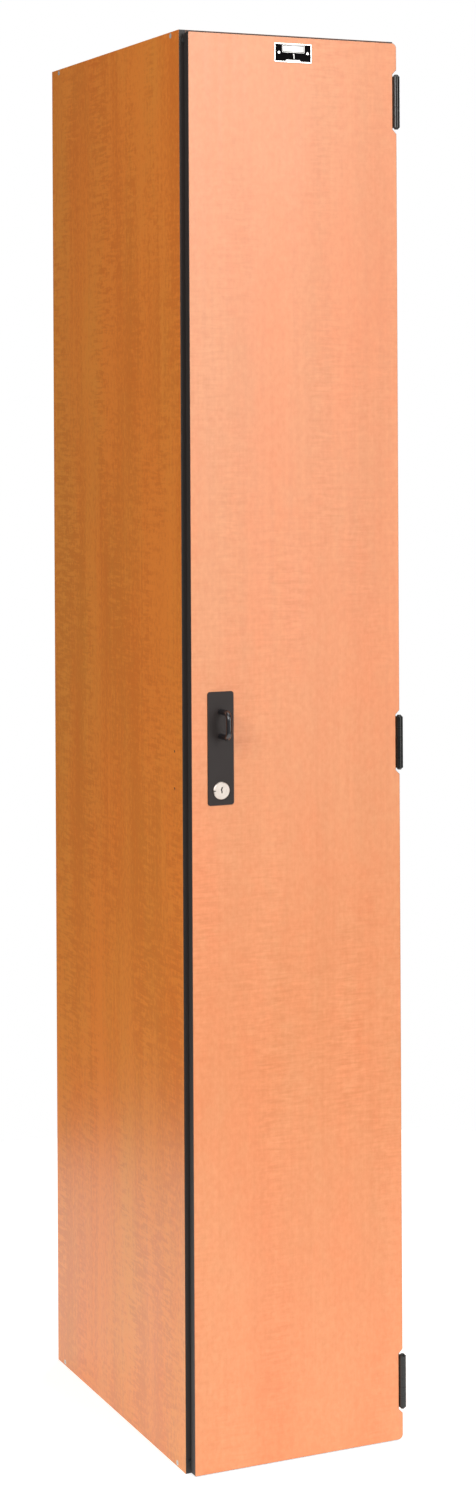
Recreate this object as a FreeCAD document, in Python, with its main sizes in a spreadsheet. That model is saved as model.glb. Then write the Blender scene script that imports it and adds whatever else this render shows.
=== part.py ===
import FreeCAD, Part
import os
import re
import Sketcher

# A single-door coin operated locker, in millimetres.
# +X is to the right as the door is faced, +Y runs into the locker, +Z is up.
# The origin is the centre of the cabinet's underside. The locker stands closed and unlocked:
# the bolt is drawn in, so the door is free to swing about +Z on its three hinges.

Vec = FreeCAD.Vector
doc = FreeCAD.newDocument("locker")

# ---- driving dimensions -------------------------------------------------------------------

DIMS = {
    # cabinet of solid phenolic panels
    "width": 304.8,
    "depth": 457.2,
    "height": 1828.8,
    "panel": 9.5,
    "back_thick": 6.35,
    "shelf_low": 1500,
    "shelf_inset": 6,
    "corner_inset": 27,
    "anchor_x": 80,
    "anchor_z": 1760,
    "anchor_r": 4,
    # door
    "door_thick": 12.7,
    "door_gap": 4.3,
    "door_left": -146.8,
    "door_right": 149.3,
    "door_low": 1.5,
    "door_top": 1824.7,
    "corner_right": 6.5,
    "corner_left": 1.5,
    "edge_break": 0.5,
    # hinges
    "hinge_x": 148.8,
    "hinge_low": 77.4,
    "hinge_mid": 912,
    "hinge_high": 1748,
    "notch_deep": 5.8,
    "notch_half": 36,
    "leaf": 1.9,
    "knuckle": 13.3,
    "knuckle_play": 0.25,
    "barrel_r": 4.75,
    "hinge_pin_r": 2.8,
    "pin_cap_r": 4.2,
    "pin_tip_r": 2.2,
    "pin_cap": 2.5,
    "frame_web_in": 2.7,
    "frame_web_start": 5.3,
    "door_web_start": 4.2,
    "frame_reach": 32,
    "door_reach": 34,
    # fits and fasteners
    "fit": 0.1,
    "turn_fit": 0.06,
    "wood_r": 1.9,
    "wood_head": 3.4,
    "sink": 1.8,
    "small_r": 1.5,
    "small_head": 2.9,
    "head_high": 1.5,
    "socket_r": 1.1,
    "socket_deep": 0.9,
    # lock plate and pull
    "lock_x": -107,
    "plate_wide": 36,
    "plate_low": 846,
    "plate_high": 990,
    "plate_thick": 1.6,
    "plate_corner": 3.5,
    "pull_low": 933.4,
    "pull_high": 964.6,
    "pull_reach": 25.6,
    "pull_bend": 9,
    "pull_r": 3.75,
    "pull_thread": 9,
    # number plate
    "tag_x": -0.6,
    "tag_z": 1804.4,
    "tag_wide": 53,
    "tag_high": 24.3,
    "tag_thick": 0.9,
    "tag_rim": 1.3,
    "tag_recess": 0.25,
    "rivet_span": 20.3,
    "rivet_r": 1.2,
    "rivet_head": 1.6,
    # lock cylinder
    "cyl_z": 864.7,
    "flange_r": 11.1,
    "flange_thick": 2.4,
    "shell_r": 9.3,
    "shell_in": 5,
    "plug_r": 6.3,
    "plug_recess": 0.25,
    "nut_r": 12.7,
    "nut_thick": 4,
    "tail_half": 3,
    "cam_low": 6.1,
    "cam_high": 8.5,
    "cam_r": 8.4,
    "crank": 4.596,
    "crank_pin_r": 1.5,
    "crank_pin_end": 17,
    # lock case, bolt and strike, with depths measured inwards from the cabinet's front edge
    "case_left": -131,
    "case_right": -59,
    "case_low": 830,
    "case_high": 926,
    "case_deep": 21,
    "sheet": 1.5,
    "post": 5.5,
    "bolt_low": 12.5,
    "bolt_high": 17.5,
    "bolt_tip": -131.2,
    "bolt_step": -120,
    "bolt_end": -95.5,
    "nose_half": 10,
    "bolt_half": 13.2,
    "guide_half": 12.2,
    "guide_thick": 3.3,
    "guide_end": -98,
    "slot_play": 0.4,
    "lip_low": 10,
    "lip_high": 12,
    "lip_reach": 7.4,
    "strike_half": 15,
    "strike_back": 36,
    "strike_low": 848,
    "strike_top": 926,
    "strike_screw": 25,
    # coin path
    "chute_left": -94,
    "chute_right": -66.4,
    "chute_wall": 1.2,
    "chute_low": 1,
    "chute_high": 6,
    "chute_foot": 854,
    "lever_x": -101,
    "lever_z": 903,
    "lever_low": 2.7,
    "lever_high": 4.3,
    "lever_boss": 4.2,
    "lever_pin_r": 2,
    "cup_rim": 852,
    "cup_low": -0.5,
    "cup_high": 31,
    "wire_r": 0.5,
    "coil_r": 3.2,
    "coil_pitch": 1.3,
    "coil_turns": 4,
    # hooks
    "hook_y": 40,
    "hook_r": 2.5,
    "hook_bend": 11,
    "hook_stem": 20,
    "hook_tip": 3.4,
    "hook_plate": 2,
    "wall_hook_z": 1420,
    "wall_hook_y": 130,
    "wall_hook_reach": 14,
    "wall_hook_bend": 9,
}

# Levels and faces worked out from the cells above.
DERIVED = {
    "front": "0 - depth / 2",
    "rear": "depth / 2",
    "inner": "width / 2 - panel",
    "back_face": "rear - back_thick",
    "shelf_high": "shelf_low + panel",
    "door_back": "front - door_gap",
    "door_face": "door_back - door_thick",
    "notch_x": "door_right - notch_deep",
    "barrel_high": "5 * knuckle",
    "plate_face": "door_face - plate_thick",
    "flange_face": "plate_face - flange_thick",
    "tag_face": "door_face - tag_thick",
    "case_floor": "door_back + sheet",
    "case_rim": "front + case_deep - sheet",
    "case_inner": "case_left + sheet",
    "case_outer": "case_right - sheet",
    "case_base": "case_low + sheet",
    "case_roof": "case_high - sheet",
    "slot_left": "chute_left + chute_wall",
    "slot_right": "chute_right - chute_wall",
    "slot_low": "front + chute_low + chute_wall + fit",
    "slot_high": "front + chute_high - chute_wall - fit",
}

sheet = doc.addObject("Spreadsheet::Sheet", "Dims")
for row, (word, number) in enumerate(DIMS.items(), 1):
    sheet.set(f"A{row}", word)
    sheet.set(f"B{row}", str(number))
    sheet.setAlias(f"B{row}", word)
doc.recompute()

NODES = {}


# ---- expressions --------------------------------------------------------------------------

def bound(text):
    """An expression with its words turned into references to the sheet's cells."""
    def refer(match):
        word = match[0]
        if word in DERIVED:
            return "(" + bound(DERIVED[word]) + ")"
        return "Dims." + word if word in DIMS else word
    return re.sub(r"[a-z][a-z_0-9]*", refer, str(text))


def value(text):
    """The number that an expression comes to."""
    answer = sheet.evalExpression(bound(text))
    return float(getattr(answer, "Value", answer))


def shift(spot, way, amount):
    """A spot moved by an amount along a way such as X or -Y."""
    sign = "-" if way[0] == "-" else "+"
    moved = list(spot)
    index = "XYZ".index(way[-1])
    moved[index] = f"{moved[index]} {sign} ({amount})"
    return moved


# ---- primitives and booleans --------------------------------------------------------------

WAYS = {"X": Vec(1, 0, 0), "-X": Vec(-1, 0, 0), "Y": Vec(0, 1, 0), "-Y": Vec(0, -1, 0),
        "Z": Vec(0, 0, 1), "-Z": Vec(0, 0, -1)}


def place(obj, spot, turn):
    """Put an object's own origin at a spot, bound to the sheet, with a given turn."""
    obj.Placement = FreeCAD.Placement(Vec(*map(value, spot)), turn)
    for axis, text in zip("xyz", spot):
        obj.setExpression("Placement.Base." + axis, bound(text))
    return obj


def primitive(kind, spot, turn, **sizes):
    """A Part primitive whose sizes and place are bound to the sheet."""
    obj = doc.addObject("Part::" + kind, kind)
    for name, text in sizes.items():
        obj.setExpression(name, bound(text))
    return place(obj, spot, turn)


def aim(way):
    """The turn that points an object's own +Z along a way."""
    return FreeCAD.Rotation(WAYS["Z"], WAYS[way])


def box(low, high):
    """A box between two corners."""
    length, width, height = (f"({b}) - ({a})" for a, b in zip(low, high))
    return primitive("Box", low, aim("Z"), Length=length, Width=width, Height=height)


def rod(spot, way, radius, length):
    """A cylinder that starts at a spot and runs along a way."""
    return primitive("Cylinder", spot, aim(way), Radius=radius, Height=length)


def cone(spot, way, wide, narrow, length):
    """A cone that starts wide at a spot and narrows along a way."""
    return primitive("Cone", spot, aim(way), Radius1=wide, Radius2=narrow, Height=length)


def ring(centre, turn, radius, thick, sweep):
    """Part of a torus, from its own +X towards its own +Y."""
    return primitive("Torus", centre, turn, Radius1=radius, Radius2=thick, Angle3=sweep)


def fuse(*pieces):
    """Pieces joined into one solid."""
    joined = doc.addObject("Part::MultiFuse", "Fuse")
    joined.Shapes = list(pieces)
    return joined


def group(pieces):
    """Separate solids kept together."""
    grouped = doc.addObject("Part::Compound", "Group")
    grouped.Links = list(pieces)
    return grouped


def cut(base, tools):
    """A base with the tools taken out of it."""
    result = doc.addObject("Part::Cut", "Cut")
    result.Base = base
    result.Tool = tools[0] if len(tools) == 1 else group(tools)
    return result


def node(label, obj):
    """Name a finished sub-part."""
    obj.Label = label
    NODES[label] = obj


# ---- sketches and features ----------------------------------------------------------------

PLANES = {"X": "YZ_Plane", "Y": "XZ_Plane", "Z": "XY_Plane"}


def sketch(body, axis, at):
    """An empty sketch square to an axis, at a distance along it."""
    drawn = body.newObject("Sketcher::SketchObject", "Sketch")
    plane = next(f for f in body.Origin.OriginFeatures if f.Role == PLANES[axis])
    drawn.AttachmentSupport = (plane, [""])
    drawn.MapMode = "FlatFace"
    # The XZ plane faces -Y, so its offset runs the other way.
    drawn.setExpression("AttachmentOffset.Base.z", bound(f"-({at})" if axis == "Y" else at))
    return drawn


def hold(drawn, kind, links, text):
    """A driving constraint bound to the sheet."""
    index = drawn.addConstraint(Sketcher.Constraint(kind, *links, value(text)))
    drawn.setExpression(f"Constraints[{index}]", bound(text))


def outline(drawn, points):
    """A closed outline of straight lines."""
    corners = [Vec(value(a), value(b), 0) for a, b in points]
    count = len(corners)
    for i in range(count):
        drawn.addGeometry(Part.LineSegment(corners[i], corners[(i + 1) % count]), False)
    for i in range(count):
        drawn.addConstraint(Sketcher.Constraint("Coincident", i, 2, (i + 1) % count, 1))
    for i, (a, b) in enumerate(points):
        hold(drawn, "DistanceX", (-1, 1, i, 1), a)
        hold(drawn, "DistanceY", (-1, 1, i, 1), b)


def circle(drawn, centre, radius):
    """A circle in a sketch."""
    spot = Vec(value(centre[0]), value(centre[1]), 0)
    index = drawn.addGeometry(Part.Circle(spot, Vec(0, 0, 1), value(radius)), False)
    hold(drawn, "DistanceX", (-1, 1, index, 3), centre[0])
    hold(drawn, "DistanceY", (-1, 1, index, 3), centre[1])
    hold(drawn, "Radius", (index,), radius)


def pad(body, drawn, axis, length):
    """Pad a sketch along the positive direction of its axis."""
    padded = body.newObject("PartDesign::Pad", "Pad")
    padded.Profile = drawn
    padded.Reversed = axis == "Y"
    padded.setExpression("Length", bound(length))
    return padded


def prism(body, axis, start, end, points):
    """A straight-sided prism between two levels along an axis."""
    drawn = sketch(body, axis, start)
    outline(drawn, points)
    return pad(body, drawn, axis, f"({end}) - ({start})")


def disc(body, axis, start, end, centre, radius):
    """A round boss between two levels along an axis."""
    drawn = sketch(body, axis, start)
    circle(drawn, centre, radius)
    return pad(body, drawn, axis, f"({end}) - ({start})")


def dress(body, kind, size, test):
    """Fillet or chamfer the edges of a body that pass a test."""
    doc.recompute()
    base = body.Tip
    names = [f"Edge{i}" for i, edge in enumerate(base.Shape.Edges, 1) if test(edge)]
    dressed = body.newObject("PartDesign::" + kind, kind)
    dressed.Base = (base, names)
    dressed.setExpression("Radius" if kind == "Fillet" else "Size", bound(size))
    return dressed


def near(a, b):
    """True where two lengths are the same to a hundredth."""
    return abs(a - b) < 0.01


def body_of(label):
    """A new body."""
    return doc.addObject("PartDesign::Body", label)


# ---- fasteners ----------------------------------------------------------------------------

def screws(spots, length, radius, head, flat=False):
    """Identical screws with hexagon sockets. A spot is where the head meets its seat.

    A flat head lies inside the seat, level with it; any other head stands on it.
    """
    made = []
    for *spot, way in spots:
        shank = rod(spot, way, radius, length)
        if flat:
            top = cone(spot, way, head, radius, "sink")
            mouth = spot
        else:
            mouth = shift(spot, way, "-head_high")
            top = rod(mouth, way, head, "head_high")
        socket = primitive("Prism", mouth, aim(way), Circumradius="socket_r", Height="socket_deep")
        made.append(cut(fuse(shank, top), [socket]))
    return group(made)


def bores(spots, length, radius, head=None):
    """The holes for screws at these spots, with countersinks where a head is given."""
    tools = []
    for *spot, way in spots:
        tools.append(rod(spot, way, f"{radius} + fit", f"{length} + fit"))
        if head:
            tools.append(cone(spot, way, f"{head} + fit", f"{radius} + fit", "sink + fit"))
    return tools


SIDES = {"left": "-", "right": ""}
CORNER_SPOTS = [
    (f"{sign}(width / 2)", f"{end}(depth / 2 - corner_inset)", level, "X" if sign else "-X")
    for sign in SIDES.values()
    for end in ("-", "")
    for level in ("panel / 2", "height - panel / 2")
]
BACK_SPOTS = [
    (x, "rear", level, "-Y")
    for level in ("panel / 2", "shelf_low + panel / 2", "height - panel / 2")
    for x in ("-90", "0", "90")
]
CLIP_ENDS = ("front + 60", "rear - 60")
CLIP_SIDE_SPOTS = [
    (f"{sign}(inner - sheet)", y, "shelf_low - 10", "-X" if sign else "X")
    for sign in SIDES.values()
    for y in CLIP_ENDS
]
CLIP_TOP_SPOTS = [
    (f"{sign}(inner - 10)", y, "shelf_low - sheet", "Z")
    for sign in SIDES.values()
    for y in CLIP_ENDS
]
CEILING_HOOK_SPOTS = [(x, "hook_y", "shelf_low - hook_plate", "Z") for x in ("-13", "13")]
WALL_HOOK_SPOTS = [
    (f"{sign}(inner - hook_plate)", "wall_hook_y", f"wall_hook_z {step}", "-X" if sign else "X")
    for sign in SIDES.values()
    for step in ("+ 13", "- 13")
]
HINGES = {"upper": "hinge_high", "middle": "hinge_mid", "lower": "hinge_low"}
FRAME_LEAF_SPOTS = [
    ("inner - leaf", "front + 20", f"{level} {step}", "X")
    for level in HINGES.values()
    for step in ("+ 21", "- 21")
]
DOOR_LEAF_SPOTS = [
    ("notch_x - 20", "door_back + leaf", f"{level} {step}", "-Y")
    for level in HINGES.values()
    for step in ("+ 21", "- 21")
]
STRIKE_SPOTS = [
    ("0 - inner + sheet", "front + strike_screw", level, "-X")
    for level in ("cyl_z", "hinge_mid")
]
PULL_SPOTS = [("lock_x", "door_back", level, "-Y") for level in ("pull_low", "pull_high")]
CASE_SPOTS = [
    (x, "case_floor", level, "-Y")
    for x, level in (("-118", "842"), ("-118", "912"), ("-80", "868"), ("-80", "912"))
]
COVER_SPOTS = [
    (x, "front + case_deep", z, "-Y")
    for x in ("case_inner + post / 2", "case_outer - post / 2")
    for z in ("case_base + post / 2", "case_roof - post / 2")
]
RIVET_SPOTS = [(f"tag_x {step} rivet_span", "tag_face + tag_recess", "tag_z", "Y")
               for step in ("-", "+")]
CAM_SPOT = [("lock_x", "front + cam_high", "cyl_z", "-Y")]

WOOD = ("wood_r", "wood_head")
SMALL = ("small_r", "small_head")
CORNER_LONG = "32"
BACK_LONG = "26"
CLIP_LONG = "7.5"
HOOK_LONG = "8.5"
FRAME_LEAF_LONG = "8.6"
DOOR_LEAF_LONG = "10.5"
STRIKE_LONG = "panel + sheet"
PULL_LONG = "door_thick + plate_thick + pull_thread - 1"
CASE_LONG = "10"
COVER_LONG = "12"
RIVET_LONG = "7"
CAM_LONG = "7"


def fasteners():
    """Every group of screws and rivets."""
    node("corner_screws", screws(CORNER_SPOTS, CORNER_LONG, *WOOD, flat=True))
    node("back_screws", screws(BACK_SPOTS, BACK_LONG, *WOOD, flat=True))
    node("shelf_clip_screws", screws(CLIP_SIDE_SPOTS + CLIP_TOP_SPOTS, CLIP_LONG, *SMALL))
    node("hook_screws", screws(CEILING_HOOK_SPOTS + WALL_HOOK_SPOTS, HOOK_LONG, *SMALL))
    node("hinge_frame_screws", screws(FRAME_LEAF_SPOTS, FRAME_LEAF_LONG, *WOOD))
    node("hinge_door_screws", screws(DOOR_LEAF_SPOTS, DOOR_LEAF_LONG, *WOOD))
    node("strike_screws", screws(STRIKE_SPOTS, STRIKE_LONG, *SMALL))
    node("pull_screws", screws(PULL_SPOTS, PULL_LONG, *SMALL))
    node("case_screws", screws(CASE_SPOTS, CASE_LONG, *SMALL))
    node("cover_screws", screws(COVER_SPOTS, COVER_LONG, *SMALL))
    node("cam_screw", screws(CAM_SPOT, CAM_LONG, "small_r - 0.3", "small_head - 0.3"))
    rivets = []
    for *spot, way in RIVET_SPOTS:
        head = rod(shift(spot, way, "-0.7"), way, "rivet_head", "0.7")
        rivets.append(fuse(head, rod(spot, way, "rivet_r", RIVET_LONG)))
    node("number_plate_rivets", group(rivets))


# ---- cabinet ------------------------------------------------------------------------------

def side_panels():
    """The two full-height side panels."""
    for side, sign in SIDES.items():
        low = "0 - width / 2" if sign else "inner"
        high = "0 - inner" if sign else "width / 2"
        slab = box((low, "front", "0"), (high, "rear", "height"))
        mine = [s for s in CORNER_SPOTS if (s[3] == "X") == bool(sign)]
        holes = bores(mine, CORNER_LONG, *WOOD)
        holes += bores([s for s in CLIP_SIDE_SPOTS if (s[3] == "-X") == bool(sign)],
                       CLIP_LONG, "small_r")
        holes += bores([s for s in WALL_HOOK_SPOTS if (s[3] == "-X") == bool(sign)],
                       HOOK_LONG, "small_r")
        if sign:
            holes += bores(STRIKE_SPOTS, STRIKE_LONG, "small_r")
        else:
            holes += bores(FRAME_LEAF_SPOTS, FRAME_LEAF_LONG, "wood_r")
        node(f"{side}_side_panel", cut(slab, holes))


def cross_panels():
    """Top, bottom, shelf and back, all between the side panels."""
    for label, low in (("bottom_panel", "0"), ("top_panel", "height - panel")):
        slab = box(("0 - inner", "front", low), ("inner", "back_face", f"{low} + panel"))
        corner = [s for s in CORNER_SPOTS if ("height" in s[2]) == ("height" in low)]
        back = [s for s in BACK_SPOTS if s[2] == ("height - panel / 2" if "height" in low
                                                 else "panel / 2")]
        holes = bores(corner, CORNER_LONG, "wood_r") + bores(back, BACK_LONG, "wood_r")
        node(label, cut(slab, holes))
    shelf = box(("0 - inner", "front + shelf_inset", "shelf_low"),
                ("inner", "back_face", "shelf_high"))
    back = [s for s in BACK_SPOTS if "shelf" in s[2]]
    holes = bores(back, BACK_LONG, "wood_r") + bores(CLIP_TOP_SPOTS, CLIP_LONG, "small_r")
    holes += bores(CEILING_HOOK_SPOTS, HOOK_LONG, "small_r")
    node("hat_shelf", cut(shelf, holes))
    back = box(("0 - inner", "back_face", "0"), ("inner", "rear", "height"))
    anchors = [rod((f"{sign}anchor_x", "back_face", "anchor_z"), "Y", "anchor_r", "back_thick")
               for sign in SIDES.values()]
    node("back_panel", cut(back, anchors + bores(BACK_SPOTS, BACK_LONG, *WOOD)))


def shelf_clips():
    """Four angle clips under the shelf, two on each side panel."""
    clips = []
    for sign in SIDES.values():
        wall, foot, toe = (f"{sign}({x})" for x in ("inner", "inner - sheet", "inner - 17"))
        for y in CLIP_ENDS:
            near_y, far_y = f"{y} - 9", f"{y} + 9"
            upright = (wall, foot) if sign else (foot, wall)
            ledge = (wall, toe) if sign else (toe, wall)
            clips.append(fuse(
                box((upright[0], near_y, "shelf_low - 17"), (upright[1], far_y, "shelf_low")),
                box((ledge[0], near_y, "shelf_low - sheet"), (ledge[1], far_y, "shelf_low"))))
    holes = bores(CLIP_SIDE_SPOTS + CLIP_TOP_SPOTS, CLIP_LONG, "small_r")
    node("shelf_clips", cut(group(clips), holes))


def ceiling_hook():
    """A double-prong hook under the shelf."""
    top = "shelf_low - hook_plate"
    bottom = f"{top} - hook_stem"
    plate = box(("-20", "hook_y - 8", top), ("20", "hook_y + 8", "shelf_low"))
    stem = rod(("0", "hook_y", bottom), "Z", "hook_r", "hook_stem")
    down = FreeCAD.Rotation(Vec(1, 0, 0), -90)
    prongs = []
    for sign in SIDES.values():
        prongs.append(ring((f"{sign}hook_bend", "hook_y", bottom), down, "hook_bend", "hook_r", "180"))
        prongs.append(primitive("Sphere", (f"{sign}(2 * hook_bend)", "hook_y", bottom), aim("Z"),
                                Radius="hook_tip"))
    whole = fuse(plate, stem, *prongs)
    node("ceiling_hook", cut(whole, bores(CEILING_HOOK_SPOTS, HOOK_LONG, "small_r")))


def wall_hooks():
    """One single-prong hook on each side panel."""
    for side, sign in SIDES.items():
        wall, face = (f"{sign}({x})" for x in ("inner", "inner - hook_plate"))
        low, high = (wall, face) if sign else (face, wall)
        plate = box((low, "wall_hook_y - 7", "wall_hook_z - 19"),
                    (high, "wall_hook_y + 7", "wall_hook_z + 19"))
        way = "X" if sign else "-X"
        arm = rod((wall, "wall_hook_y", "wall_hook_z"), way, "hook_r", "wall_hook_reach")
        bend_x = f"{sign}(inner - wall_hook_reach)"
        across = WAYS[way]
        turn = FreeCAD.Rotation(Vec(0, 0, -1), across, Vec(0, 0, -1).cross(across), "XYZ")
        bend = ring((bend_x, "wall_hook_y", "wall_hook_z + wall_hook_bend"), turn,
                    "wall_hook_bend", "hook_r", "90")
        tip_x = f"{sign}(inner - wall_hook_reach - wall_hook_bend)"
        tip = primitive("Sphere", (tip_x, "wall_hook_y", "wall_hook_z + wall_hook_bend"), aim("Z"),
                        Radius="hook_tip")
        mine = [s for s in WALL_HOOK_SPOTS if (s[3] == "-X") == bool(sign)]
        node(f"wall_hook_{side}", cut(fuse(plate, arm, bend, tip),
                                      bores(mine, HOOK_LONG, "small_r")))


def strike():
    """The angle bracket behind whose lip the bolt is thrown."""
    leg = box(("0 - inner", "front + lip_low", "strike_low"),
              ("0 - inner + sheet", "front + strike_back", "strike_top"))
    lip = box(("0 - inner", "front + lip_low", "cyl_z - strike_half"),
              ("0 - inner + lip_reach", "front + lip_high", "cyl_z + strike_half"))
    node("strike_plate", cut(fuse(leg, lip), bores(STRIKE_SPOTS, STRIKE_LONG, "small_r")))


def bumpers():
    """Rubber buttons on the left panel's front edge that the closed door rests near."""
    buttons = [rod(("-146.1", "front", level), "-Y", "3", "door_gap - 0.4")
               for level in ("14", "1815")]
    node("door_bumpers", group(buttons))


# ---- hinges -------------------------------------------------------------------------------

def knuckles(body, low, indices, play):
    """Solid barrel lengths at the given places along a hinge."""
    for i in indices:
        start = f"{low} + {i} * knuckle + {play}"
        disc(body, "Z", start, f"{start} + knuckle - 2 * ({play})", ("hinge_x", "door_face"),
             "barrel_r")


def webs(body, low, indices, play, left, right, start_y, end_y):
    """The short stretches of sheet that join the barrel lengths to their leaf."""
    for i in indices:
        start = f"{low} + {i} * knuckle + {play}"
        prism(body, "Z", start, f"{start} + knuckle - 2 * ({play})",
              [(left, start_y), (right, start_y), (right, end_y), (left, end_y)])


def hinges():
    """Three wrap-around butt hinges of five knuckles each."""
    for name, middle in HINGES.items():
        low = f"{middle} - barrel_high / 2"
        high = f"{middle} + barrel_high / 2"
        bore = rod(("hinge_x", "door_face", f"{low} - 1"), "Z", "hinge_pin_r + turn_fit",
                   "barrel_high + 2")

        frame_leaf = body_of("FrameLeaf")
        web_left = "hinge_x - frame_web_in"
        web_right = "hinge_x - frame_web_in + leaf"
        prism(frame_leaf, "Z", low, high, [
            (web_left, "door_face + frame_web_start"),
            (web_right, "door_face + frame_web_start"),
            (web_right, "front"),
            ("inner", "front"),
            ("inner", "front + frame_reach"),
            ("inner - leaf", "front + frame_reach"),
            ("inner - leaf", "front - leaf"),
            (web_left, "front - leaf")])
        webs(frame_leaf, low, (0, 2, 4), "0", web_left, web_right, "door_face + 3.4",
             "door_face + frame_web_start")
        knuckles(frame_leaf, low, (0, 2, 4), "0")
        mine = [s for s in FRAME_LEAF_SPOTS if s[2].startswith(middle)]
        node(f"hinge_frame_leaf_{name}",
             cut(frame_leaf, [bore] + bores(mine, FRAME_LEAF_LONG, "wood_r")))

        door_leaf = body_of("DoorLeaf")
        web_right = "notch_x + leaf"
        strip_end = "notch_x - door_reach"
        prism(door_leaf, "Z", low, high, [
            ("notch_x", "door_face + door_web_start"),
            (web_right, "door_face + door_web_start"),
            (web_right, "door_back + leaf"),
            (strip_end, "door_back + leaf"),
            (strip_end, "door_back"),
            ("notch_x", "door_back")])
        webs(door_leaf, low, (1, 3), "knuckle_play", "notch_x", web_right, "door_face",
             "door_face + door_web_start")
        knuckles(door_leaf, low, (1, 3), "knuckle_play")
        mine = [s for s in DOOR_LEAF_SPOTS if s[2].startswith(middle)]
        node(f"hinge_door_leaf_{name}",
             cut(door_leaf, [bore] + bores(mine, DOOR_LEAF_LONG, "wood_r")))

        centre = ("hinge_x", "door_face")
        pin = fuse(rod((*centre, low), "Z", "hinge_pin_r", "barrel_high"),
                   cone((*centre, low), "-Z", "pin_cap_r", "pin_tip_r", "pin_cap"),
                   cone((*centre, high), "Z", "pin_cap_r", "pin_tip_r", "pin_cap"))
        node(f"hinge_pin_{name}", pin)


# ---- door ---------------------------------------------------------------------------------

def door_panel():
    """The overlay door, with three notches that clear the hinge barrels."""
    body = body_of("Door")
    points = [("door_left", "door_low"), ("door_right", "door_low")]
    for level in ("hinge_low", "hinge_mid", "hinge_high"):
        points += [("door_right", f"{level} - notch_half - notch_deep"),
                   ("notch_x", f"{level} - notch_half"),
                   ("notch_x", f"{level} + notch_half"),
                   ("door_right", f"{level} + notch_half + notch_deep")]
    points += [("door_right", "door_top"), ("door_left", "door_top")]
    prism(body, "Y", "door_face", "door_back", points)

    def corner(side):
        def test(edge):
            spot = edge.CenterOfMass
            ends = (value("door_low"), value("door_top"))
            return near(spot.x, value(side)) and any(near(spot.z, end) for end in ends) \
                and near(edge.Length, value("door_thick"))
        return test

    dress(body, "Fillet", "corner_right", corner("door_right"))
    dress(body, "Fillet", "corner_left", corner("door_left"))
    faces = (value("door_face"), value("door_back"))
    dress(body, "Chamfer", "edge_break",
          lambda edge: any(near(v.Y, faces[0]) for v in edge.Vertexes)
          and near(edge.CenterOfMass.y, faces[0]))
    dress(body, "Chamfer", "edge_break",
          lambda edge: near(edge.CenterOfMass.y, faces[1]))
    holes = bores(DOOR_LEAF_SPOTS, DOOR_LEAF_LONG, "wood_r")
    holes += bores(PULL_SPOTS, PULL_LONG, "small_r")
    holes += bores(CASE_SPOTS, CASE_LONG, "small_r")
    holes += bores(RIVET_SPOTS, RIVET_LONG, "rivet_r")
    holes.append(rod(("lock_x", "door_face", "cyl_z"), "Y", "shell_r + fit", "door_thick"))
    node("door_panel", cut(body, holes))


def plate_outline(body, centre, half_wide, low, high, start, end):
    """A rectangular plate square to Y."""
    left = f"{centre} - {half_wide}"
    right = f"{centre} + {half_wide}"
    return prism(body, "Y", start, end, [(left, low), (right, low), (right, high), (left, high)])


def lock_plate():
    """The plate under the pull and around the key cylinder."""
    body = body_of("LockPlate")
    plate_outline(body, "lock_x", "plate_wide / 2", "plate_low", "plate_high",
                  "plate_face", "door_face")
    dress(body, "Fillet", "plate_corner", lambda edge: near(edge.Length, value("plate_thick")))
    face = value("plate_face")
    dress(body, "Chamfer", "edge_break", lambda edge: near(edge.CenterOfMass.y, face))
    holes = bores(PULL_SPOTS, PULL_LONG, "small_r")
    holes.append(rod(("lock_x", "plate_face", "cyl_z"), "Y", "shell_r + fit", "plate_thick"))
    node("lock_plate", cut(body, holes))


def door_pull():
    """A D-shaped pull bent from round bar."""
    body = body_of("Pull")
    path = sketch(body, "X", "lock_x")
    foot, out = value("plate_face"), value("plate_face - pull_reach")
    low, high, bend = value("pull_low"), value("pull_high"), value("pull_bend")
    normal = Vec(0, 0, 1)
    # Straight foot, quarter bend, straight grip, quarter bend, straight foot.
    path.addGeometry(Part.LineSegment(Vec(foot, low, 0), Vec(out + bend, low, 0)), False)
    lower = Part.Circle(Vec(out + bend, low + bend, 0), normal, bend)
    path.addGeometry(Part.ArcOfCircle(lower, 3.14159265, 4.71238898), False)
    path.addGeometry(Part.LineSegment(Vec(out, low + bend, 0), Vec(out, high - bend, 0)), False)
    upper = Part.Circle(Vec(out + bend, high - bend, 0), normal, bend)
    path.addGeometry(Part.ArcOfCircle(upper, 1.57079633, 3.14159265), False)
    path.addGeometry(Part.LineSegment(Vec(out + bend, high, 0), Vec(foot, high, 0)), False)
    for joint in ((0, 2, 1, 2), (1, 1, 2, 1), (2, 2, 3, 2), (3, 1, 4, 1)):
        path.addConstraint(Sketcher.Constraint("Tangent", *joint))
    path.addConstraint(Sketcher.Constraint("Horizontal", 0))
    path.addConstraint(Sketcher.Constraint("Vertical", 2))
    path.addConstraint(Sketcher.Constraint("Horizontal", 4))
    hold(path, "Radius", (1,), "pull_bend")
    hold(path, "Radius", (3,), "pull_bend")
    hold(path, "DistanceX", (-1, 1, 0, 1), "plate_face")
    hold(path, "DistanceY", (-1, 1, 0, 1), "pull_low")
    hold(path, "DistanceX", (-1, 1, 4, 2), "plate_face")
    hold(path, "DistanceY", (-1, 1, 4, 2), "pull_high")
    hold(path, "DistanceX", (-1, 1, 2, 1), "plate_face - pull_reach")
    section = sketch(body, "Y", "plate_face")
    circle(section, ("lock_x", "pull_low"), "pull_r")
    bar = body.newObject("PartDesign::AdditivePipe", "Bar")
    bar.Profile = section
    bar.Spine = (path, [f"Edge{i}" for i in range(1, 6)])
    threads = [rod(("lock_x", "plate_face", level), "-Y", "small_r + fit", "pull_thread")
               for level in ("pull_low", "pull_high")]
    node("door_pull", cut(body, threads))


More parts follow.
